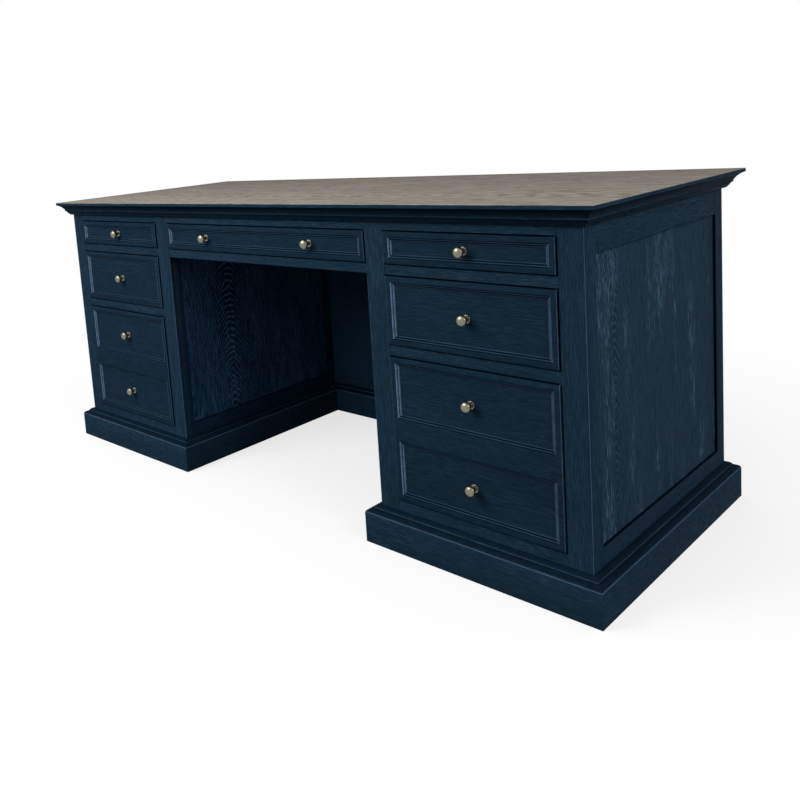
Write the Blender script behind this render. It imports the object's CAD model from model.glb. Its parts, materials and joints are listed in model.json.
"""Executive pedestal desk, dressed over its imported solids.

Run as a script it loads the solids, calls one operator for each group of pieces and one for
the stage. Every length is in metres, in the frame of the solids.
"""

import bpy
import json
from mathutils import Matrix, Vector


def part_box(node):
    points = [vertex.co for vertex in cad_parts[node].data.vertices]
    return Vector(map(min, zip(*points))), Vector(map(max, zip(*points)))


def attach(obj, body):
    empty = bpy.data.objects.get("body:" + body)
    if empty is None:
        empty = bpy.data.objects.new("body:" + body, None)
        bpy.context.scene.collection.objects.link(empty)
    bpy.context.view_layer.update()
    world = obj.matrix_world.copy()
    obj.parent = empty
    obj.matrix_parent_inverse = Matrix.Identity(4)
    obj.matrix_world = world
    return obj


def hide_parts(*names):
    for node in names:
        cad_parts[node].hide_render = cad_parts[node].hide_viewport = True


bl_info = {
    "name": "Executive desk",
    "version": (1, 0, 0),
    "blender": (4, 5, 0),
    "location": "View3D > Sidebar > Desk",
    "description": "Makes the boards, mouldings, drawers, knobs and finishes of a pedestal desk",
    "category": "Add Mesh",
}

import json
import math
import random

import bmesh
import bpy
from mathutils import Matrix, Vector
from mathutils.bvhtree import BVHTree

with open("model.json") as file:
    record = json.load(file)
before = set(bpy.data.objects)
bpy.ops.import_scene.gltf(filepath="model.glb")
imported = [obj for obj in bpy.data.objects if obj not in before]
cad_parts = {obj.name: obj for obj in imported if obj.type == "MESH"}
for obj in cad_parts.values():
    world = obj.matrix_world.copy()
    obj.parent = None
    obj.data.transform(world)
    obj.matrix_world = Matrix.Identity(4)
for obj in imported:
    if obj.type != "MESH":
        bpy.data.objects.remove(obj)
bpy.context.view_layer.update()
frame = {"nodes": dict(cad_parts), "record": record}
BODY_OF = {
    node: body
    for body, nodes in frame["record"]["behaviour"]["bodies"].items()
    for node in nodes
}
SLOT_OF = {part["node"]: part["material_slot"] for part in frame["record"]["subparts"]}
DRAWERS = [node[: -len("_front")] for node in sorted(frame["nodes"]) if node.endswith("_front")]

X, Y, Z = 0, 1, 2
WHITE = (1, 1, 1, 1)

# What counts as one point, as flat, as a sharp edge and as square on to an axis
WELD = 2e-6
FLAT_ANGLE = math.radians(1)
SHARP_ANGLE = math.radians(30)
SQUARE_ON = 0.999

# The search for boards against an edge: steps along it, how closely a board's end is found,
# where each ray starts from the edge and its face, and what counts as touching
PROBE_STEP = 0.004
PROBE_FINE = 0.0002
PROBE_INSET = 0.0004
PROBE_LIFT = 0.00004
TOUCH = 0.0003

# Steps of the rounds, and the glue gap at each end of a mitred length
ARC_STEPS = 10
EASE_STEPS = 2
KNOB_STEPS = 48
SCREW_STEPS = 24
GLUE_GAP = 0.0001

# Where the back of a knob's head meets its stem, in degrees from its rim, and the shares of a
# screw's head that are flat across and straight up its side
KNOB_BACK = -58
SCREW_FLAT_SHARE = 0.6
SCREW_RIM_SHARE = 0.25

# Wear of a face: 1 is rubbed pale, 0 is as finished and -1 is left dark
EDGE_WEAR = 0.45
GAP_WEAR = -0.9
FILLET_WEAR = -0.15
COVE_WEAR = -0.5
BASE_WEAR = 0.5
BASE_WEAR_FALL = 1.8
BASE_TOP_WEAR = -0.75
KNOB_WEAR = 1.6
KNOB_WEAR_LOSS = 0.4

# Wear of a round of a drawer front's moulding, from crest to foot, up the left side and along
# the level lengths, and how much of it the right side keeps
CREST_WEAR = (
    (0.9, -0.9), (0.9, -0.9), (0.8, -0.5), (0.65, 0.05), (0.5, 0.15), (0.45, 0.15),
    (0.4, 0.05), (0.35, -0.3), (0.3, -0.7), (0.1, -0.9))
RIGHT_WEAR_SHARE = 0.6
RIGHT_WEAR_LOSS = 0.15

# How far from the heart of its log a board may be cut: along, across and through its grain
CUT_ALONG = 4
CUT_ACROSS = (0.1, 3)
CUT_THROUGH = 0.5

# The place in its log of the middle of a face that shows a chosen figure
TOP_CUT = (1.3, 0.21, 0.0)
SIDE_CUT = (0.325, 0.215, 0.0)
KNEEHOLE_CUT = (0.76, 0.1225, 0.0)
BACK_CUT = (0.30, 0.02, 0.0)


# Sizes, colours and stage settings


def number(name, description, default, unit="NONE"):
    return bpy.props.FloatProperty(
        name=name, description=description, default=default, unit=unit)


def length(name, description, default):
    return number(name, description, default, "LENGTH")


def vector(name, description, default, subtype="TRANSLATION"):
    return bpy.props.FloatVectorProperty(
        name=name, description=description, default=default, subtype=subtype,
        size=len(default))


def colour(name, description, default):
    return bpy.props.FloatVectorProperty(
        name=name, description=description, default=default, subtype="COLOR", size=3,
        min=0, max=1)


class DeskSizes(bpy.types.PropertyGroup):
    """Sizes that the boxes of the solids don't give"""

    ease: length("Eased edge", "Radius worn on the open edges of the boards", 0.0008)
    box_ease: length("Eased box edge", "Radius on the edges of the drawer boxes", 0.0006)
    edge_lap: length("Edge lap", "Width of the edge pieces that lie over the carcass", 0.010)
    nosing: length("Nosing", "Height of the square nosing at the rim of the top", 0.0075)
    nosing_step: length("Nosing step", "Step between the nosing and the cove", 0.0015)
    fillet_reach: length("Fillet reach", "How far the fillet under the cove stands out", 0.0185)
    fillet: length("Fillet", "Height of the fillet under the cove", 0.0035)
    cove_sag: length("Cove hollow", "Hollow of the cove, from its chord", 0.0025)
    bed_foot: length("Bed foot", "Reach of the bed moulding at its foot", 0.007)
    bed_sag: length("Bed swell", "Swell of the bed moulding, from its chord", 0.0005)
    base_quirk: length("Base quirk", "Quirk between the rounds of the base moulding", 0.0015)
    border: length("Border", "Flat border round the panel of a drawer front", 0.012)
    band: length("Band", "Flat band between the two panels of a file drawer", 0.052)
    sink: length("Sink", "Depth of the panel of a drawer front", 0.006)
    ovolo: length("Ovolo", "Width of the stepped moulding round that panel", 0.009)
    ovolo_quirk: length("Ovolo quirk", "Quirk over each round of that moulding", 0.0008)
    knob_base: length("Knob flange", "Radius of the flange of a knob", 0.009)
    knob_base_t: length("Flange thickness", "Thickness of the flange of a knob", 0.0022)
    knob_neck: length("Knob neck", "Radius of the stem of a knob at its ends", 0.005)
    knob_waist: length("Knob waist", "Hollow of the stem, from its chord", 0.001)
    knob_head_t: length("Knob head", "Depth of the head of a knob, front to back", 0.016)
    screw: length("Screw", "Radius of the shank of a knob screw", 0.002)
    screw_head: length("Screw head", "Radius of the head of a knob screw", 0.0045)
    screw_head_h: length("Screw head height", "Height of the head of a knob screw", 0.0026)


class DeskColours(bpy.types.PropertyGroup):
    """Colours of the finishes"""

    lacquer: colour("Lacquer", "Body of the blue-black lacquer", (0.0110, 0.0280, 0.0485))
    rubbed: colour("Rubbed lacquer", "Lacquer rubbed lighter along the grain",
                   (0.0280, 0.0700, 0.1100))
    pore: colour("Lacquered pore", "Lacquer in the open grain", (0.0025, 0.0080, 0.0160))
    worn: colour("Worn edge", "Lacquer on the worn edges and rounds",
                 (0.1200, 0.2000, 0.3200))
    figure: colour("Figure", "Pale figure of the panels of the ends and the back",
                   (0.0650, 0.1350, 0.1900))
    modesty: colour("Modesty lacquer", "Lacquer of the modesty panel", (0.0120, 0.0350, 0.0660))
    shaded: colour("Kneehole frame lacquer", "Lacquer of the frames in the kneehole",
                   (0.0070, 0.0240, 0.0480))
    inner: colour("Kneehole lacquer", "Bluer lacquer of the kneehole panels",
                  (0.0032, 0.0110, 0.0300))
    inner_pore: colour("Kneehole pore", "Lacquer in their open grain",
                       (0.0008, 0.0035, 0.0150))
    flame: colour("Flame", "Pale figure of the kneehole panels", (0.0500, 0.1300, 0.2400))
    top_oak: colour("Top oak", "Oak of the top", (0.2820, 0.2580, 0.2260))
    top_pale: colour("Pale top oak", "Paler streaks of the top", (0.3550, 0.3280, 0.2920))
    top_pore: colour("Pores of the top", "Dark open grain of the top", (0.0850, 0.0660, 0.0500))
    box_oak: colour("Drawer oak", "Oak of the drawer boxes", (0.5000, 0.3400, 0.1900))
    box_pale: colour("Pale drawer oak", "Paler streaks of that oak", (0.5900, 0.4300, 0.2600))
    box_pore: colour("Drawer pores", "Open grain of that oak", (0.3000, 0.1800, 0.0850))
    brass: colour("Brass", "Rubbed brass of the knobs", (0.2200, 0.2120, 0.1600))
    patina: colour("Patina", "Darkened brass of the knobs", (0.1250, 0.1200, 0.0950))
    steel: colour("Steel", "Zinc plated steel of the runners", (0.4800, 0.5000, 0.5200))
    floor: colour("Floor", "Floor as the camera sees it", (0.9500, 0.9500, 0.9500))
    bounce: colour("Floor bounce", "Floor as diffuse light sees it", (0.1200, 0.1200, 0.1200))


class DeskStage(bpy.types.PropertyGroup):
    """Camera and light"""

    camera_place: vector("Camera", "Where the camera stands", (1.561, -1.738, 0.942))
    camera_right: vector("Right", "Direction to the camera's right",
                         (0.6765, 0.7318, -0.0820), "DIRECTION")
    camera_back: vector("Back", "Direction behind the camera",
                        (0.7352, -0.6649, 0.1318), "DIRECTION")
    lens: number("Lens", "Focal length of the camera", 37.95, "CAMERA")
    sensor: number("Sensor", "Width of the camera's sensor", 36, "CAMERA")
    shift: vector("Shift", "Camera shift, as a share of the frame", (0.180, -0.189), "NONE")
    ambient: number("Ambient", "Strength of the world for diffuse light", 0.65)
    aim: vector("Aim", "Where the softboxes point", (0.0, 0.0, 0.4))
    key_energy: number("Key", "Power of the key softbox", 48, "POWER")
    key_place: vector("Key place", "Where the key softbox hangs", (-0.70, -1.90, 1.90))
    key_size: length("Key size", "Side of the key softbox", 1.4)
    fill_energy: number("Fill", "Power of the fill softbox", 16, "POWER")
    fill_place: vector("Fill place", "Where the fill softbox stands", (2.4, -0.6, 1.6))
    fill_size: length("Fill size", "Side of the fill softbox", 0.9)
    floor_reach: length("Floor", "Half the side of the floor", 20)
    fade_start: length("Fade start", "Distance at which the floor starts to fade out", 0.9)
    fade_end: length("Fade end", "Distance at which the floor is white", 1.8)
    fade_least: number("Least fade", "How white the floor is beside the desk", 0.7)


# Modelling helpers


def sizes():
    return bpy.context.scene.desk_sizes


def all_solids():
    """A search tree over the faces of every solid."""
    points, faces = [], []
    for node in sorted(frame["nodes"]):
        mesh = frame["nodes"][node].data
        first = len(points)
        points += [v.co.copy() for v in mesh.vertices]
        faces += [[first + i for i in p.vertices] for p in mesh.polygons]
    return BVHTree.FromPolygons(points, faces)


SOLIDS = all_solids()


def is_open(edge, point):
    """Whether nothing lies against the two faces of an edge at a point on it."""
    for face, other in (edge.link_faces, reversed(edge.link_faces)):
        inward = face.normal * face.normal.dot(other.normal) - other.normal
        start = point + inward.normalized() * PROBE_INSET + face.normal * PROBE_LIFT
        hit, normal, _, distance = SOLIDS.ray_cast(start, face.normal)
        if hit is not None and (normal.dot(face.normal) > 0 or distance < TOUCH):
            return False
    return True


def open_stretches(edge):
    """Splits a sharp edge where it goes under another board, and gives its open parts."""
    start, end = (v.co.copy() for v in edge.verts)
    span = (end - start).length
    count = max(2, math.ceil(span / PROBE_STEP))
    places = [(i + 0.5) / count for i in range(count)]
    states = [is_open(edge, start.lerp(end, t)) for t in places]
    changes = []
    for i in range(1, count):
        if states[i] != states[i - 1]:
            low, high = places[i - 1], places[i]
            while (high - low) * span > PROBE_FINE:
                middle = (low + high) / 2
                if is_open(edge, start.lerp(end, middle)) == states[i]:
                    high = middle
                else:
                    low = middle
            changes.append((low + high) / 2)
    found, state, vert, done = [], states[0], edge.verts[0], 0.0
    for change in changes:
        part, vert = bmesh.utils.edge_split(edge, vert, (change - done) / (1 - done))
        if state:
            found.append(part)
        state, done = not state, change
    if state:
        found.append(edge)
    return found


def new_mesh(source=None):
    """A mesh that can note how far each face is worn, with the faces of a source in it."""
    bm = bmesh.new()
    if source:
        bm.from_mesh(source)
    bm.faces.layers.float.new("wear")
    return bm


def rub(bm, faces, wear):
    """Notes how worn some faces are."""
    layer = bm.faces.layers.float["wear"]
    for face in faces:
        face[layer] = wear


def sharp_edges(bm):
    """The outer edges of the boards of a mesh."""
    return [
        e for e in bm.edges
        if len(e.link_faces) == 2 and e.is_convex and e.calc_face_angle() > SHARP_ANGLE]


def round_edges(bm, edges, width):
    """Rounds edges, and gives the faces of the rounds."""
    return bmesh.ops.bevel(
        bm, geom=edges, offset=width, affect="EDGES", segments=EASE_STEPS, profile=0.5,
        material=-1, clamp_overlap=False)["faces"]


def ease_edges(bm, width):
    """Rounds the open outer edges of the boards, but not those at their joints.

    The rounds are rubbed pale. Beside a dark face one half stays dark and the other as finished.
    """
    bm.normal_update()
    worn = [part for edge in sharp_edges(bm) for part in open_stretches(edge)]
    left = set(round_edges(bm, worn, width))
    layer = bm.faces.layers.float["wear"]
    dark = {f for f in bm.faces if f[layer] < 0}
    for wear in (GAP_WEAR, 0.0):
        near = {f for f in left if any(o in dark for e in f.edges for o in e.link_faces)}
        rub(bm, near, wear)
        left, dark = left - near, near
    rub(bm, left, EDGE_WEAR)


def boards_of(bm):
    """The separate boards of a mesh, each as a list of its vertices."""
    seen, found = set(), []
    for first in bm.verts:
        if first in seen:
            continue
        seen.add(first)
        board, ahead = [], [first]
        while ahead:
            vert = ahead.pop()
            board.append(vert)
            for edge in vert.link_edges:
                other = edge.other_vert(vert)
                if other not in seen:
                    seen.add(other)
                    ahead.append(other)
        found.append(board)
    return found


def lay_grain(bm, seed, along=None, start=None):
    """Gives each board its own grain: a vector along it, across it and through it.

    along is the axis that the grain follows, or the board's longest side if none is given.
    start is the grain at the board's middle, or is drawn for each board.
    """
    layer = bm.verts.layers.float_vector.new("grain")
    draw = random.Random(seed)
    for board in boards_of(bm):
        low = Vector([min(v.co[i] for v in board) for i in range(3)])
        high = Vector([max(v.co[i] for v in board) for i in range(3)])
        span, middle = high - low, (low + high) / 2
        order = sorted(range(3), key=lambda i: (i != along, -span[i]))
        drawn = [draw.uniform(-CUT_ALONG, CUT_ALONG),
                 draw.choice((-1, 1)) * draw.uniform(*CUT_ACROSS),
                 draw.uniform(-CUT_THROUGH, CUT_THROUGH)]
        offset = Vector(start or drawn)
        for vert in board:
            place = vert.co - middle
            vert[layer] = offset + Vector([place[i] for i in order])


def finish_piece(bm, node, material, ending=".wood"):
    """Makes an object of the mesh that stands for its solid."""
    name = node + ending
    bm.normal_update()
    for face in bm.faces:
        face.smooth = max(abs(c) for c in face.normal) < SQUARE_ON
    mesh = bpy.data.meshes.new(name)
    bm.to_mesh(mesh)
    bm.free()
    mesh.set_sharp_from_angle(angle=SHARP_ANGLE)
    mesh.materials.append(material)
    piece = bpy.data.objects.new(name, mesh)
    bpy.context.scene.collection.objects.link(piece)
    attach(piece, BODY_OF[node])
    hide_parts(node)


def timber(node, material, along=None, start=None, ease=None, gap=None):
    """Boards cut as their solid is, joints and grooves included, with their own grain.

    gap tells of a face's normal whether the face lies in a gap, where no hand rubs it.
    """
    bm = new_mesh(frame["nodes"][node].data)
    bmesh.ops.remove_doubles(bm, verts=bm.verts, dist=WELD)
    bmesh.ops.dissolve_limit(bm, angle_limit=FLAT_ANGLE, verts=bm.verts, edges=bm.edges)
    if gap:
        bm.normal_update()
        rub(bm, [f for f in bm.faces if gap(f.normal)], GAP_WEAR)
    ease_edges(bm, ease or sizes().ease)
    lay_grain(bm, node, along, start)
    finish_piece(bm, node, material)


def quarter(centre, rx, rz, start, end):
    """Points of a quarter round about a centre, between two angles in degrees."""
    angles = [math.radians(start + (end - start) * i / ARC_STEPS) for i in range(ARC_STEPS + 1)]
    return [(centre[0] + rx * math.cos(a), centre[1] + rz * math.sin(a)) for a in angles]


def bow(a, b, sag):
    """Points of a shallow bow from a to b that swells to the left of the way by sag."""
    way = Vector(b) - Vector(a)
    left = Vector((-way.y, way.x)).normalized()
    shares = [i / ARC_STEPS for i in range(ARC_STEPS + 1)]
    return [tuple(Vector(a) + way * t + left * 4 * sag * t * (1 - t)) for t in shares]


def double_ovolo(width, height, quirk):
    """Two quarter rounds, one over the other: reach width at the foot, none at the top."""
    rx, rz = width / 2, (height - quirk) / 2
    return quarter((rx, 0), rx, rz, 0, 90) + quarter((0, rz + quirk), rx, rz, 0, 90)


def add_length(bm, profile, x, y, turn, span, near, far):
    """Adds a length of moulding that starts at x, y and runs along X before it is turned.

    Each point of the profile is how far it stands out towards -Y, and its height. near and
    far are 1 for an outer mitre and -1 for an inner one.
    """
    start = [bm.verts.new((GLUE_GAP, -reach, height)) for reach, height in profile]
    pulled = bmesh.ops.extrude_face_region(bm, geom=[bm.faces.new(start)])["geom"]
    end = [v for v in pulled if isinstance(v, bmesh.types.BMVert)]
    bmesh.ops.translate(bm, verts=end, vec=(span - 2 * GLUE_GAP, 0, 0))
    for vert in start:
        vert.co.x += near * vert.co.y
    for vert in end:
        vert.co.x -= far * vert.co.y
    place = Matrix.Translation((x, y, 0)) @ Matrix.Rotation(math.radians(turn), 4, "Z")
    bmesh.ops.transform(bm, matrix=place, verts=start + end)


def moulding(node, lengths, profile, material, ease, wear=None):
    """A group of mitred lengths of one profile.

    wear gives the share by which a face is worn, from how far it looks up and its height.
    """
    bm = new_mesh()
    for place in lengths:
        add_length(bm, profile, *place)
    bmesh.ops.recalc_face_normals(bm, faces=bm.faces)
    bm.normal_update()
    if wear:
        for face in bm.faces:
            rub(bm, [face], wear(face.normal.z, face.calc_center_median().z))
    ease_edges(bm, ease)
    lay_grain(bm, node)
    finish_piece(bm, node, material)


def carcass():
    """Half width and half depth of the carcass, kneehole half width, front of the back."""
    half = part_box("right_outer_stile")[1].x
    depth = -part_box("right_outer_stile")[0].y
    return half, depth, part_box("right_inner_stile")[0].x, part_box("back_frame")[0].y


def ring_lengths():
    """The four lengths of a moulding round the carcass, as add_length takes them."""
    half, depth, _, _ = carcass()
    return [
        (-half, -depth, 0, 2 * half, 1, 1), (half, -depth, 90, 2 * depth, 1, 1),
        (half, depth, 180, 2 * half, 1, 1), (-half, depth, -90, 2 * depth, 1, 1)]


def pedestal_lengths(side):
    """The front, end and kneehole lengths of a moulding round one pedestal."""
    half, depth, knee, back = carcass()
    if side == "right":
        return [
            (knee, -depth, 0, half - knee, 1, 1), (half, -depth, 90, 2 * depth, 1, 1),
            (knee, back, -90, back + depth, -1, 1)]
    return [
        (-half, -depth, 0, half - knee, 1, 1), (-half, depth, -90, 2 * depth, 1, 1),
        (-knee, -depth, 90, back + depth, 1, -1)]


def back_lengths():
    """The lengths of a moulding along the back and along the back of the kneehole."""
    half, depth, knee, back = carcass()
    return [(half, depth, 180, 2 * half, 1, 1), (-knee, back, 0, 2 * knee, -1, -1)]


# Finishes


# Marks made by noise: their cells to a metre along, across and through, the noise's detail, the
# noise at which they start and are full, and what they give there. A look adds the cells of its
# mottle and the noise of its zones.
PORES = ((45, 900, 900), 1.0, 0.42, 0.62)
STREAKS = ((20, 330, 330), 3.0, 0.36, 0.64)
FLECKS = ((34, 480, 480), 1.5, 0.54, 0.64)
RUBBING = ((14, 60, 60), 3.0, 0.3, 0.6, 0.6)
PATINA = ((260, 260, 260), 4.0, 0.3, 0.7, 0.8)
BRASS_SHINE = ((2200, 2200, 2200), 2.0, 0.3, 0.7, 0.28, 0.38)
ZINC_BLOOM = ((70, 70, 70), 3.0, 0.35, 0.65)
MOTTLE = (3.0, 0.3, 0.7)
ZONES = ((2.6, 15, 15), 2.0)
DRAWN_CELLS = (900, 9, 900)

# The sway of the grain, the cells of its waver, and the noise in its rings. The phase of a
# wave texture turns by WAVE_RATE radians in one over its scale.
BEND = ((1.6, 9, 9), 0.016)
WAVER_CELLS = (16, 60, 60)
RING_NOISE = {"Distortion": 3.0, "Detail": 3.0, "Detail Scale": 0.3, "Detail Roughness": 0.6}
WAVE_RATE = 20

# Where in a ring the pores gather, the dark band lies and the pale line lies, and where the
# streaks break that line and how much of it they leave
RING_PORES = (0.2, 0.8)
RING_BAND = (0.1, 0.5)
RING_LINE = (0.6, 0.95)
BROKEN_LINE = (0.1, 0.6, 0.3)

# Shares of the streaks in the tone, of pale and of dark at its ends, and of dark in the pores
STREAK_SHARE = 0.6
PALE_SHARE = 0.3
DARK_SHARE = 0.4
PORE_SHARE = 0.7

# Depth of the glaze in the gaps and of the bloom on zinc, as shares of the colour
GLAZE_DEPTH = 0.6
BLOOM_DEPTH = 0.82

# Relief of the grain and of drawn steel, in metres, and how strong the streaks are in it
GRAIN_RELIEF = 0.0004
STREAK_RELIEF = 0.4
STEEL_RELIEF = 0.0002
STEEL_BUMP = 0.2
PORE_ROUGHNESS = 0.12
STEEL_SHINE = (0.3, 0.7, 0.28, 0.42)

# Places of the colour sockets on a Mix node
MIX_FACTOR, MIX_A, MIX_B, MIX_RESULT = 0, 6, 7, 2


class Finish:
    """The nodes of a material or a world, with short ways to add them and feed them."""

    def __init__(self, owner):
        self.owner = owner
        owner.use_nodes = True
        self.tree = owner.node_tree
        self.shader = self.tree.nodes.get("Principled BSDF")

    def add(self, kind, inputs=(), **settings):
        """A node with its settings, and its inputs set or joined by name or place."""
        node = self.tree.nodes.new(kind)
        for key, value in settings.items():
            setattr(node, key, value)
        return self.feed(node, inputs)

    def feed(self, node, inputs):
        for key, value in dict(inputs).items():
            if isinstance(value, bpy.types.NodeSocket):
                self.tree.links.new(value, node.inputs[key])
            else:
                node.inputs[key].default_value = value
        return node

    def attribute(self, name, output):
        return self.add("ShaderNodeAttribute", attribute_name=name).outputs[output]

    def place(self):
        return self.add("ShaderNodeTexCoord").outputs["Object"]

    def mapped(self, vector, scale, turn=(0, 0, 0)):
        inputs = {"Vector": vector, "Scale": scale, "Rotation": turn}
        return self.add("ShaderNodeMapping", inputs).outputs["Vector"]

    def noise(self, vector, cells, detail, output="Fac"):
        """Noise with a number of cells to a metre along, across and through."""
        inputs = {"Vector": self.mapped(vector, cells), "Scale": 1.0, "Detail": detail}
        return self.add("ShaderNodeTexNoise", inputs).outputs[output]

    def marks(self, vector, cells, detail, low, high, least=0.0, most=1.0):
        """Noise that gives least where it is under low, and most where it is over high."""
        return self.ramp(self.noise(vector, cells, detail), low, high, least, most)

    def swayed(self, vector, cells, reach):
        """The vector moved across and through the grain by noise, by up to half the reach."""
        sway = self.vector_math("SUBTRACT", self.noise(vector, cells, 1.0, "Color"),
                                (0.5, 0.5, 0.5))
        bent = self.vector_math("MULTIPLY", sway, (0, reach, reach))
        return self.vector_math("ADD", vector, bent)

    def ramp(self, value, low, high, out_low=0.0, out_high=1.0):
        inputs = {"Value": value, "From Min": low, "From Max": high, "To Min": out_low,
                  "To Max": out_high}
        return self.add("ShaderNodeMapRange", inputs).outputs["Result"]

    def math(self, operation, a, b):
        return self.add("ShaderNodeMath", {0: a, 1: b}, operation=operation).outputs[0]

    def vector_math(self, operation, a, b):
        return self.add("ShaderNodeVectorMath", {0: a, 1: b}, operation=operation).outputs[0]

    def blend(self, share, a, b):
        inputs = {MIX_FACTOR: share, MIX_A: a, MIX_B: b}
        return self.add("ShaderNodeMix", inputs, data_type="RGBA").outputs[MIX_RESULT]

    def bump(self, height, strength, distance):
        inputs = {"Strength": strength, "Distance": distance, "Height": height}
        return self.add("ShaderNodeBump", inputs).outputs["Normal"]


def shade(name, depth=1.0):
    """A named colour as a socket takes it, darker with a depth under 1 and paler over it."""
    return (*[c * depth for c in getattr(bpy.context.scene.desk_colours, name)], 1.0)


def growth_rings(finish, grain, look):
    """The rings of a log, tilted so that a board's face cuts them as cathedrals."""
    tilted = finish.mapped(grain, (1, 1, 1), (0, math.radians(look["tilt"]), 0))
    inputs = {"Vector": tilted, "Scale": math.tau / WAVE_RATE / look["ring"], **RING_NOISE}
    return finish.add(
        "ShaderNodeTexWave", inputs, wave_type="RINGS", rings_direction="X").outputs["Fac"]


def with_wear(finish, straight, plain, worn, pore):
    """A colour rubbed to the worn one where a face is worn, and glazed dark in the gaps."""
    wear = finish.attribute("wear", "Fac")
    crest = finish.math("MULTIPLY", finish.ramp(wear, 0.0, 1.0), finish.marks(straight, *RUBBING))
    rubbed = finish.blend(crest, plain, shade(worn))
    return finish.blend(finish.ramp(wear, 0.0, -1.0), rubbed, shade(pore, GLAZE_DEPTH))


def oak(name, look, pore, body, pale, worn=None):
    """Oak with open pores, rings that cut its face as cathedrals, and paler flecks.

    pore, body, pale and worn name its colours. look gives the depth of the body colour, how
    dark the rings band it, their width in metres, tilt in degrees and waver in metres, how
    strongly the pores follow them and their pale lines, the flecks and the streaks show, the
    cells of the mottle, where the flecks gather, and the roughness, gloss and relief.
    """
    finish = Finish(bpy.data.materials.new(name))
    straight = finish.attribute("grain", "Vector")
    grain = finish.swayed(finish.swayed(straight, *BEND), WAVER_CELLS, look["waver"])
    rings = growth_rings(finish, grain, look)
    streaks = finish.marks(grain, *STREAKS)
    mottle = finish.marks(straight, look["mottle"], *MOTTLE)

    tone = finish.math("ADD", finish.math("MULTIPLY", streaks, STREAK_SHARE),
                       finish.math("MULTIPLY", mottle, 1 - STREAK_SHARE))
    lighter = finish.ramp(tone, 0.5, 1.0, 0.0, PALE_SHARE * look["streaks"])
    darker = finish.ramp(tone, 0.0, 0.5, DARK_SHARE * look["streaks"], 0.0)
    light = finish.blend(lighter, shade(body, look["depth"]), shade(pale))
    base = finish.blend(darker, light, shade(pore))
    band = finish.ramp(rings, *RING_BAND, look["bands"], 0.0)
    banded = finish.blend(band, base, shade(pore))

    gathered = finish.ramp(rings, *RING_PORES, 1.0 - look["figure"], 1.0)
    grooves = finish.math("MULTIPLY", finish.marks(grain, *PORES), gathered)
    cut = finish.blend(finish.math("MULTIPLY", grooves, PORE_SHARE), banded, shade(pore))

    lines = finish.math("MULTIPLY", finish.ramp(rings, *RING_LINE, 0.0, look["lines"]),
                        finish.ramp(streaks, *BROKEN_LINE, 1.0))
    zones = finish.marks(straight, *ZONES, *look["zones"])
    flecks = finish.math("MULTIPLY", finish.marks(grain, *FLECKS), zones)
    dashes = finish.math("MULTIPLY", flecks, look["flecks"])
    colour_out = finish.blend(finish.math("MAXIMUM", lines, dashes), cut, shade(pale))
    if worn:
        colour_out = with_wear(finish, straight, colour_out, worn, pore)

    height = finish.math("SUBTRACT", finish.math("MULTIPLY", streaks, STREAK_RELIEF), grooves)
    rough = look["rough"]
    finish.feed(finish.shader, {
        "Base Color": colour_out,
        "Roughness": finish.ramp(grooves, 0.0, 1.0, rough, rough + PORE_ROUGHNESS),
        "Specular IOR Level": look["gloss"],
        "Normal": finish.bump(height, look["relief"], GRAIN_RELIEF)})
    return finish.owner


LACQUER = {"depth": 1.12, "bands": 0.15, "ring": 0.005, "tilt": 9, "waver": 0.002, "figure": 0.5,
           "lines": 0.15, "flecks": 0.45, "streaks": 0.65, "mottle": (2.5, 11, 11),
           "zones": (0.44, 0.60), "rough": 0.5, "gloss": 0.004, "relief": 0.35}
FRONT = {**LACQUER, "depth": 0.87, "lines": 0.10, "flecks": 0.12, "streaks": 0.6}
FIGURED = {**LACQUER, "ring": 0.003, "tilt": 9.5, "waver": 0.004, "lines": 0.35,
           "bands": 0.08, "flecks": 1.0, "streaks": 0.4, "zones": (0.52, 0.62)}
FLAMED = {**FIGURED, "lines": 1.0, "flecks": 0.7, "streaks": 1.0, "zones": (0.46, 0.60)}
PLAIN = {**LACQUER, "flecks": 0.15, "streaks": 0.6}
TOP = {**LACQUER, "depth": 1.0, "bands": 0.45, "ring": 0.007, "tilt": 6, "waver": 0.004,
       "figure": 0.8, "lines": 0.3, "flecks": 0.5, "streaks": 2.4, "mottle": (5, 60, 60),
       "rough": 0.62, "gloss": 0.0, "relief": 0.3}
BOX = {**TOP, "bands": 0.2, "streaks": 0.8, "mottle": (2.5, 11, 11), "gloss": 0.25,
       "lines": 0.0, "flecks": 0.3}


def lacquered_oak(name):
    """Blue-black oak of the frames, mouldings and plinths."""
    return oak(name, LACQUER, "pore", "lacquer", "rubbed", "worn")


def front_oak(name):
    """Calmer blue-black oak of the drawer fronts."""
    return oak(name, FRONT, "pore", "lacquer", "rubbed", "worn")


def figured_oak(name):
    """Blue-black oak with pale figure, of the panels of the ends and the back."""
    return oak(name, FIGURED, "pore", "lacquer", "figure", "worn")


def kneehole_oak(name):
    """Bluer oak with pale cathedrals, of the panels beside the kneehole."""
    return oak(name, FLAMED, "inner_pore", "inner", "flame", "worn")


def modesty_oak(name):
    """Bluer oak of the modesty panel."""
    return oak(name, PLAIN, "pore", "modesty", "rubbed", "worn")


def shaded_oak(name):
    """Darker oak of the frames beside the kneehole."""
    return oak(name, PLAIN, "inner_pore", "shaded", "rubbed", "worn")


def brown_oak(name):
    """Brown-grey oak of the top."""
    return oak(name, TOP, "top_pore", "top_oak", "top_pale")


def drawer_oak(name):
    """Plain oak of the drawer boxes."""
    return oak(name, BOX, "box_pore", "box_oak", "box_pale")


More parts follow.
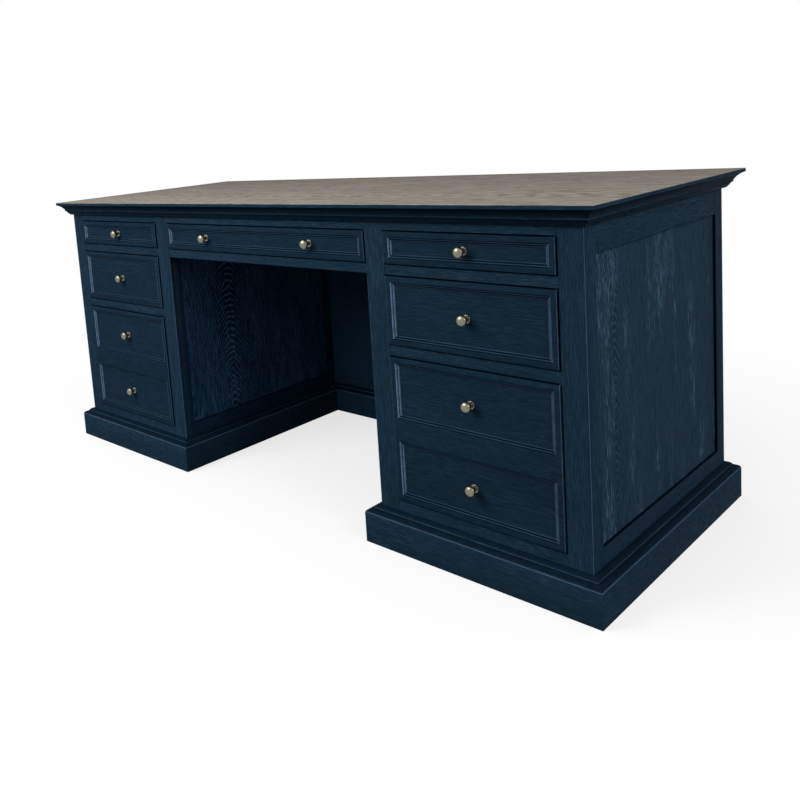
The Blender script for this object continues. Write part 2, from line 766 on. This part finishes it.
def antique_brass(name):
    """Brass rubbed bright where a hand takes it, with patina elsewhere."""
    finish = Finish(bpy.data.materials.new(name))
    place = finish.place()
    bright = finish.math("MULTIPLY", finish.attribute("wear", "Fac"),
                         finish.marks(place, *PATINA))
    finish.feed(finish.shader, {
        "Base Color": finish.blend(bright, shade("patina"), shade("brass")),
        "Metallic": 1.0, "Roughness": finish.marks(place, *BRASS_SHINE)})
    return finish.owner


def slide_steel(name):
    """Zinc plated steel, drawn along the runners."""
    finish = Finish(bpy.data.materials.new(name))
    place = finish.place()
    drawn = finish.noise(place, DRAWN_CELLS, 2.0)
    bloom = finish.marks(place, *ZINC_BLOOM)
    finish.feed(finish.shader, {
        "Base Color": finish.blend(bloom, shade("steel"), shade("steel", BLOOM_DEPTH)),
        "Metallic": 1.0, "Roughness": finish.ramp(drawn, *STEEL_SHINE),
        "Normal": finish.bump(drawn, STEEL_BUMP, STEEL_RELIEF)})
    return finish.owner


def get_material(maker):
    """The material that a maker gives, made once."""
    name = "desk." + maker.__name__
    return bpy.data.materials.get(name) or maker(name)


# Operators, one for each group of pieces


class DeskStep:
    """What every step of the desk has in common."""

    bl_options = {"REGISTER", "UNDO"}


class DESK_OT_top(DeskStep, bpy.types.Operator):
    """Makes the brown top with its thin face layer"""

    bl_idname = "desk.top"
    bl_label = "Top"

    def execute(self, context):
        timber("top_board", get_material(brown_oak), along=X, start=TOP_CUT)
        return {"FINISHED"}


def edge_moulding(paint):
    """The mitred edge of the top: a square nosing over a cove, and a fillet at its foot."""
    size, node = sizes(), "top_edge_moulding"
    low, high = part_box(node)
    reach = high.x - carcass()[0]
    foot, crown = high.z - size.nosing, low.z + size.fillet
    profile = [(-size.edge_lap, low.z), (size.fillet_reach, low.z)]
    profile += bow((size.fillet_reach, crown), (reach - size.nosing_step, foot), size.cove_sag)
    profile += [(reach, foot), (reach, high.z), (-size.edge_lap, high.z)]

    def wear(_, height):
        if height > foot + WELD:
            return 0.0
        if height >= crown:
            return COVE_WEAR + (GAP_WEAR - COVE_WEAR) * (height - crown) / (foot - crown)
        return FILLET_WEAR if height > low.z + WELD else GAP_WEAR

    moulding(node, ring_lengths(), profile, paint, size.ease / 2, wear)


def bed_moulding(paint):
    """The mitred bed moulding under that edge, darker the higher it goes."""
    size, node = sizes(), "bed_moulding"
    low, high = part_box(node)
    reach = high.x - carcass()[0]
    profile = [(0, low.z)] + bow((size.bed_foot, low.z), (reach, high.z), -size.bed_sag)
    profile += [(0, high.z)]
    moulding(node, ring_lengths(), profile, paint, size.ease / 2,
             lambda _, height: GAP_WEAR * (height - low.z) / (high.z - low.z))


class DESK_OT_top_mouldings(DeskStep, bpy.types.Operator):
    """Makes the mitred edge moulding of the top and the bed moulding under it"""

    bl_idname = "desk.top_mouldings"
    bl_label = "Top mouldings"

    def execute(self, context):
        paint = get_material(lacquered_oak)
        edge_moulding(paint)
        bed_moulding(paint)
        return {"FINISHED"}


class DESK_OT_face_frame(DeskStep, bpy.types.Operator):
    """Makes the stiles and rails of the face frame"""

    bl_idname = "desk.face_frame"
    bl_label = "Face frame"

    def execute(self, context):
        paint = get_material(lacquered_oak)
        for side, out in (("left", -1), ("right", 1)):
            timber(side + "_outer_stile", paint, gap=lambda n: n.x * out < -SQUARE_ON)
            timber(side + "_inner_stile", paint, gap=lambda n: n.x * out > SQUARE_ON)
            timber(side + "_face_rails", paint, gap=lambda n: abs(n.z) > SQUARE_ON)
        timber("kneehole_rails", paint, gap=lambda n: abs(n.z) > SQUARE_ON)
        return {"FINISHED"}


class DESK_OT_ends(DeskStep, bpy.types.Operator):
    """Makes the framed and panelled ends and kneehole sides"""

    bl_idname = "desk.ends"
    bl_label = "Ends"

    def execute(self, context):
        figured, flamed = get_material(figured_oak), get_material(kneehole_oak)
        for side in ("left", "right"):
            for kind, maker in (("_side_frame", lacquered_oak), ("_kneehole_frame", shaded_oak)):
                timber(side + kind, get_material(maker), gap=lambda n: abs(n.x) < SQUARE_ON)
            timber(side + "_side_panel", figured, along=Z, start=SIDE_CUT)
            timber(side + "_kneehole_panel", flamed, along=Z, start=KNEEHOLE_CUT)
        return {"FINISHED"}


class DESK_OT_back(DeskStep, bpy.types.Operator):
    """Makes the back frame with its panels, the modesty panel and the pedestal floors"""

    bl_idname = "desk.back"
    bl_label = "Back"

    def execute(self, context):
        paint = get_material(lacquered_oak)
        timber("back_frame", paint)
        timber("back_panels", get_material(figured_oak), along=Z, start=BACK_CUT)
        timber("modesty_panel", get_material(modesty_oak), along=Z)
        timber("pedestal_floors", paint, along=Y)
        return {"FINISHED"}


class DESK_OT_base(DeskStep, bpy.types.Operator):
    """Makes the plinths and the base mouldings on them"""

    bl_idname = "desk.base"
    bl_label = "Base"

    def execute(self, context):
        size, paint = sizes(), get_material(lacquered_oak)
        half = carcass()[0]
        low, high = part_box("right_plinth")
        reach = high.x - half
        board = [(0, low.z), (reach, low.z), (reach, high.z), (0, high.z)]
        foot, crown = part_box("right_base_moulding")
        rounds = double_ovolo(crown.x - half, crown.z - foot.z, size.base_quirk)
        cap = [(0, foot.z)] + [(r, z + foot.z) for r, z in rounds] + [(0, crown.z)]
        quirk = foot.z + (crown.z - foot.z - size.base_quirk) / 2

        def cap_wear(slope, height):
            if quirk < height < quirk + size.base_quirk:
                return GAP_WEAR
            return max(BASE_TOP_WEAR, BASE_WEAR - BASE_WEAR_FALL * slope)

        places = {side: pedestal_lengths(side) for side in ("left", "right")}
        places["back"] = back_lengths()
        for side, lengths in places.items():
            moulding(side + "_plinth", lengths, board, paint, size.ease)
            moulding(side + "_base_moulding", lengths, cap, paint, size.ease / 2, cap_wear)
        return {"FINISHED"}


def pocket_steps():
    """The moulding round a sunk panel, point by point.

    Each is how far in it lies, how deep, and how worn the stretch after it is, along the
    uprights and along the level lengths.
    """
    size = sizes()
    ease = size.ovolo_quirk / 2
    arris = [(x - ease, ease - z) for x, z in quarter((0, 0), ease, ease, 90, 0)]
    rounds = double_ovolo(size.ovolo, size.sink - size.ovolo_quirk, size.ovolo_quirk)
    points = arris + [(reach, size.sink - height) for reach, height in reversed(rounds)]
    wear = [(0.0, 0.0)] * ARC_STEPS + 2 * [(GAP_WEAR, GAP_WEAR), *CREST_WEAR] + [(0.0, 0.0)]
    return [(*point, *shares) for point, shares in zip(points, wear)]


def pockets_of(low, high, count, inset):
    """Left, right, foot and head of each sunk panel of a front, less an inset all round."""
    size = sizes()
    height = ((high - low).z - 2 * size.border - (count - 1) * size.band) / count
    feet = [low.z + size.border + i * (height + size.band) for i in range(count)]
    left, right = low.x + size.border + inset, high.x - size.border - inset
    return [(left, right, foot + inset, foot + height - inset) for foot in feet]


def front_faces(bm):
    """The faces that look at the user."""
    return [f for f in bm.faces if f.normal.y < -SQUARE_ON]


def score_front(bm, pockets):
    """Cuts the front of a board along the sides of its pockets."""
    cuts = [((x, 0, 0), (1, 0, 0)) for x in pockets[0][:2]]
    cuts += [((0, 0, z), (0, 0, 1)) for pocket in pockets for z in pocket[2:]]
    for point, normal in cuts:
        faces = front_faces(bm)
        edges = dict.fromkeys(e for f in faces for e in f.edges)
        verts = dict.fromkeys(v for f in faces for v in f.verts)
        bmesh.ops.bisect_plane(
            bm, geom=[*faces, *edges, *verts], plane_co=point, plane_no=normal)
        bm.normal_update()


def pocket_face(bm, pocket):
    """The part of the front that lies inside a pocket."""
    left, right, foot, head = pocket
    middles = {face: face.calc_center_median() for face in front_faces(bm)}
    return next(f for f, m in middles.items() if left < m.x < right and foot < m.z < head)


def sink_panel(bm, face, steps):
    """Works the stepped moulding inwards from the edge of a face.

    Its crests are rubbed palest along the left upright, where the hand passes over them.
    """
    middle = face.calc_center_median()
    for (x0, d0, upright, level), (x1, d1, _, _) in zip(steps, steps[1:]):
        if x1 - x0 > WELD:
            bmesh.ops.inset_region(
                bm, faces=[face], thickness=x1 - x0, depth=d0 - d1, use_even_offset=True)
        elif d1 - d0 > WELD:
            geom = bmesh.ops.extrude_face_region(bm, geom=[face])["geom"]
            bmesh.ops.delete(bm, geom=[face], context="FACES_ONLY")
            face = next(g for g in geom if isinstance(g, bmesh.types.BMFace))
            bmesh.ops.translate(bm, verts=face.verts, vec=(0, d1 - d0, 0))
        for edge in face.edges:
            start, end = (v.co for v in edge.verts)
            wear = level
            if abs((start - end).z) > WELD:
                wear = upright
                if upright > 0 and start.x > middle.x:
                    wear = RIGHT_WEAR_SHARE * upright - RIGHT_WEAR_LOSS
            rub(bm, [f for f in edge.link_faces if f != face], wear)


def on_rim(face, low, high):
    """Whether a face is one of the four narrow sides of a front."""
    middle = face.calc_center_median()
    return any(min(abs(middle[i] - low[i]), abs(middle[i] - high[i])) < WELD for i in (X, Z))


def on_corner(edge, low, high):
    """Whether an edge is one of the edges of a front's own box."""
    middle = (edge.verts[0].co + edge.verts[1].co) / 2
    return sum(min(abs(c - a), abs(c - b)) < WELD for c, a, b in zip(middle, low, high)) > 1


def drawer_front(name, steps, paint):
    """The front of a drawer, with one sunk panel, or two where it closes a file drawer."""
    size, node = sizes(), name + "_front"
    low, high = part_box(node)
    bm = new_mesh()
    board = bmesh.ops.create_cube(bm, size=1)["verts"]
    bmesh.ops.scale(bm, vec=high - low, verts=board)
    bmesh.ops.translate(bm, vec=(low + high) / 2, verts=board)
    pockets = pockets_of(low, high, 2 if "file" in name else 1, steps[0][0])
    score_front(bm, pockets)
    for pocket in pockets:
        sink_panel(bm, pocket_face(bm, pocket), steps)
    corners = [e for e in sharp_edges(bm) if on_corner(e, low, high)]
    bm.normal_update()
    rub(bm, [f for f in bm.faces if abs(f.normal.y) < WELD and on_rim(f, low, high)], GAP_WEAR)
    rounds = round_edges(bm, corners, size.ease)
    rub(bm, [f for f in rounds if abs(f.normal.x) > WELD], EDGE_WEAR)
    rub(bm, [f for f in rounds if f.normal.z < -WELD], GAP_WEAR)
    lay_grain(bm, name, along=X)
    finish_piece(bm, node, paint)


class DESK_OT_fronts(DeskStep, bpy.types.Operator):
    """Makes the drawer fronts with their sunk panels"""

    bl_idname = "desk.fronts"
    bl_label = "Drawer fronts"

    def execute(self, context):
        steps, paint = pocket_steps(), get_material(front_oak)
        for name in DRAWERS:
            drawer_front(name, steps, paint)
        return {"FINISHED"}


class DESK_OT_boxes(DeskStep, bpy.types.Operator):
    """Makes the dovetailed drawer boxes and the packers behind the face frame"""

    bl_idname = "desk.boxes"
    bl_label = "Drawer boxes"

    def execute(self, context):
        plain = get_material(drawer_oak)
        for node in (*(name + "_box" for name in DRAWERS), "runner_packers"):
            timber(node, plain, ease=sizes().box_ease)
        return {"FINISHED"}


class DESK_OT_runners(DeskStep, bpy.types.Operator):
    """Gives the drawer runners their steel"""

    bl_idname = "desk.runners"
    bl_label = "Runners"

    def execute(self, context):
        steel = get_material(slide_steel)
        for node, solid in frame["nodes"].items():
            if SLOT_OF[node] == "slide_steel":
                solid.data.materials.clear()
                solid.data.materials.append(steel)
        return {"FINISHED"}


def turn_profile(bm, profile, place, steps):
    """Turns a profile of radius and height about the Z axis, and puts it in place."""
    before = set(bm.verts)
    verts = [bm.verts.new((radius, 0, height)) for radius, height in profile]
    edges = [bm.edges.new(pair) for pair in zip(verts, verts[1:])]
    bmesh.ops.spin(bm, geom=verts + edges, axis=(0, 0, 1), cent=(0, 0, 0), angle=math.tau,
                   steps=steps, use_merge=True)
    made = [v for v in bm.verts if v not in before]
    bmesh.ops.remove_doubles(bm, verts=made, dist=WELD)
    made = [v for v in bm.verts if v not in before]
    bmesh.ops.transform(bm, matrix=place, verts=made)


def knob_profile(reach, radius):
    """The flange, hollow stem and rounded head of a knob that stands out by reach."""
    size = sizes()
    half, edge = size.knob_head_t / 2, size.knob_base_t / 2
    middle = reach - half
    stem_end = middle + half * math.sin(math.radians(KNOB_BACK))
    profile = [(0, 0), (size.knob_base, 0)]
    profile += quarter((size.knob_base - edge, edge), edge, edge, 0, 90)
    profile += bow((size.knob_neck, size.knob_base_t), (size.knob_neck, stem_end),
                   size.knob_waist)
    return profile + quarter((0, middle), radius, half, KNOB_BACK, 90)


def screw_profile(tail):
    """The shank and domed head of a knob's screw, from its seat back to its tail."""
    size = sizes()
    head = tail + size.screw_head_h
    dome = (size.screw_head * SCREW_FLAT_SHARE, head - size.screw_head_h * SCREW_RIM_SHARE)
    profile = [(0, 0), (size.screw, 0), (size.screw, head), (size.screw_head, head)]
    profile += quarter(dome, size.screw_head * (1 - SCREW_FLAT_SHARE),
                       size.screw_head_h * (1 - SCREW_RIM_SHARE), 0, -90)
    return profile + [(0, tail)]


def knob_places(node, low, high):
    """The radius of the knobs of a node, and the place of each across and up the front."""
    x, z = (low.x + high.x) / 2, (low.z + high.z) / 2
    if "centre" in node:
        radius = (high.z - low.z) / 2
        return radius, [(low.x + radius, z), (high.x - radius, z)]
    radius = (high.x - low.x) / 2
    if "file" in node:
        return radius, [(x, low.z + radius), (x, high.z - radius)]
    return radius, [(x, z)]


class DESK_OT_knobs(DeskStep, bpy.types.Operator):
    """Turns the knobs, each with its screw from inside the box"""

    bl_idname = "desk.knobs"
    bl_label = "Knobs"

    def execute(self, context):
        brass = get_material(antique_brass)
        for node in sorted(n for n in frame["nodes"] if "_knob" in n):
            low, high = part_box(node)
            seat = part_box(node.split("_knob")[0] + "_front")[0].y + sizes().sink
            radius, places = knob_places(node, low, high)
            knob, screw = knob_profile(seat - low.y, radius), screw_profile(seat - high.y)
            bm = new_mesh()
            for x, z in places:
                place = Matrix.Translation((x, seat, z)) @ Matrix.Rotation(math.pi / 2, 4, "X")
                turn_profile(bm, knob, place, KNOB_STEPS)
                turn_profile(bm, screw, place, SCREW_STEPS)
            bmesh.ops.recalc_face_normals(bm, faces=bm.faces)
            bm.normal_update()
            for face in bm.faces:
                wear = -KNOB_WEAR * face.normal.y - KNOB_WEAR_LOSS
                rub(bm, [face], min(1.0, max(0.0, wear)))
            finish_piece(bm, node, brass, ".turned")
        return {"FINISHED"}


# The stage


def set_camera(scene, setting):
    camera = bpy.data.objects.new("camera", bpy.data.cameras.new("camera"))
    scene.collection.objects.link(camera)
    right = Vector(setting.camera_right).normalized()
    back = Vector(setting.camera_back)
    back = (back - right * back.dot(right)).normalized()
    turn = Matrix((right, back.cross(right), back)).transposed().to_4x4()
    camera.matrix_world = Matrix.Translation(setting.camera_place) @ turn
    camera.data.sensor_width = setting.sensor
    camera.data.lens = setting.lens
    camera.data.shift_x, camera.data.shift_y = setting.shift
    scene.camera = camera


def seen_directly(finish):
    """1 where the camera looks, straight or by a reflection or through glass, else 0."""
    path = finish.add("ShaderNodeLightPath")
    seen = finish.math("MAXIMUM", path.outputs["Is Camera Ray"], path.outputs["Is Glossy Ray"])
    return finish.math("MAXIMUM", seen, path.outputs["Is Transmission Ray"])


def set_world(scene, setting):
    """A world that is white to the camera and dimmer as a light."""
    sky = Finish(bpy.data.worlds.new("white_room"))
    strength = sky.ramp(seen_directly(sky), 0.0, 1.0, setting.ambient, 1.0)
    sky.feed(sky.tree.nodes["Background"], {"Color": WHITE, "Strength": strength})
    scene.world = sky.owner


def floor_paint(setting):
    """Pale paint that fades to white away from the desk, and throws little light back."""
    paint = Finish(bpy.data.materials.new("floor"))
    seen = seen_directly(paint)
    away = paint.add("ShaderNodeVectorMath", {0: paint.place()}, operation="LENGTH")
    paint.feed(paint.shader, {
        "Base Color": paint.blend(seen, shade("bounce"), shade("floor")),
        "Roughness": 1.0, "Specular IOR Level": 0.0})
    white = paint.add("ShaderNodeEmission", {"Color": WHITE, "Strength": 1.0})
    fade = paint.ramp(away.outputs["Value"], setting.fade_start, setting.fade_end,
                      setting.fade_least)
    both = paint.add("ShaderNodeMixShader", {
        0: paint.math("MULTIPLY", seen, fade), 1: paint.shader.outputs[0],
        2: white.outputs[0]})
    paint.feed(paint.tree.nodes["Material Output"], {"Surface": both.outputs[0]})
    return paint.owner


def set_floor(scene, setting):
    bm = bmesh.new()
    bmesh.ops.create_grid(bm, x_segments=1, y_segments=1, size=setting.floor_reach)
    mesh = bpy.data.meshes.new("floor")
    bm.to_mesh(mesh)
    bm.free()
    mesh.materials.append(floor_paint(setting))
    floor = bpy.data.objects.new("floor", mesh)
    scene.collection.objects.link(floor)


def set_softbox(scene, setting, name):
    light = bpy.data.lights.new(name, "AREA")
    light.shape = "SQUARE"
    light.size = getattr(setting, name + "_size")
    light.energy = getattr(setting, name + "_energy")
    lamp = bpy.data.objects.new(name, light)
    scene.collection.objects.link(lamp)
    place = Vector(getattr(setting, name + "_place"))
    turn = (Vector(setting.aim) - place).to_track_quat("-Z", "Y")
    lamp.matrix_world = Matrix.Translation(place) @ turn.to_matrix().to_4x4()


class DESK_OT_stage(DeskStep, bpy.types.Operator):
    """Sets the camera, the lights, the floor and the white world"""

    bl_idname = "desk.stage"
    bl_label = "Stage"

    def execute(self, context):
        scene = context.scene
        setting = scene.desk_stage
        scene.view_settings.view_transform = "Standard"
        set_camera(scene, setting)
        set_world(scene, setting)
        set_floor(scene, setting)
        for name in ("key", "fill"):
            set_softbox(scene, setting, name)
        return {"FINISHED"}


OPERATORS = (
    DESK_OT_stage, DESK_OT_top, DESK_OT_top_mouldings, DESK_OT_face_frame, DESK_OT_ends,
    DESK_OT_back, DESK_OT_base, DESK_OT_fronts, DESK_OT_boxes, DESK_OT_runners, DESK_OT_knobs)


class DESK_PT_panel(bpy.types.Panel):
    """Lists the steps that make the desk"""

    bl_idname = "DESK_PT_panel"
    bl_label = "Desk"
    bl_space_type = "VIEW_3D"
    bl_region_type = "UI"
    bl_category = "Desk"

    def draw(self, context):
        for operator in OPERATORS:
            self.layout.operator(operator.bl_idname)


GROUPS = {"desk_sizes": DeskSizes, "desk_colours": DeskColours, "desk_stage": DeskStage}


def register():
    for each in (*GROUPS.values(), *OPERATORS, DESK_PT_panel):
        bpy.utils.register_class(each)
    for name, group in GROUPS.items():
        setattr(bpy.types.Scene, name, bpy.props.PointerProperty(type=group))


def unregister():
    for name in GROUPS:
        delattr(bpy.types.Scene, name)
    for each in (DESK_PT_panel, *reversed(OPERATORS), *GROUPS.values()):
        bpy.utils.unregister_class(each)


def main():
    register()
    for operator in OPERATORS:
        category, name = operator.bl_idname.split(".")
        getattr(getattr(bpy.ops, category), name)()


if __name__ == "__main__":
    main()
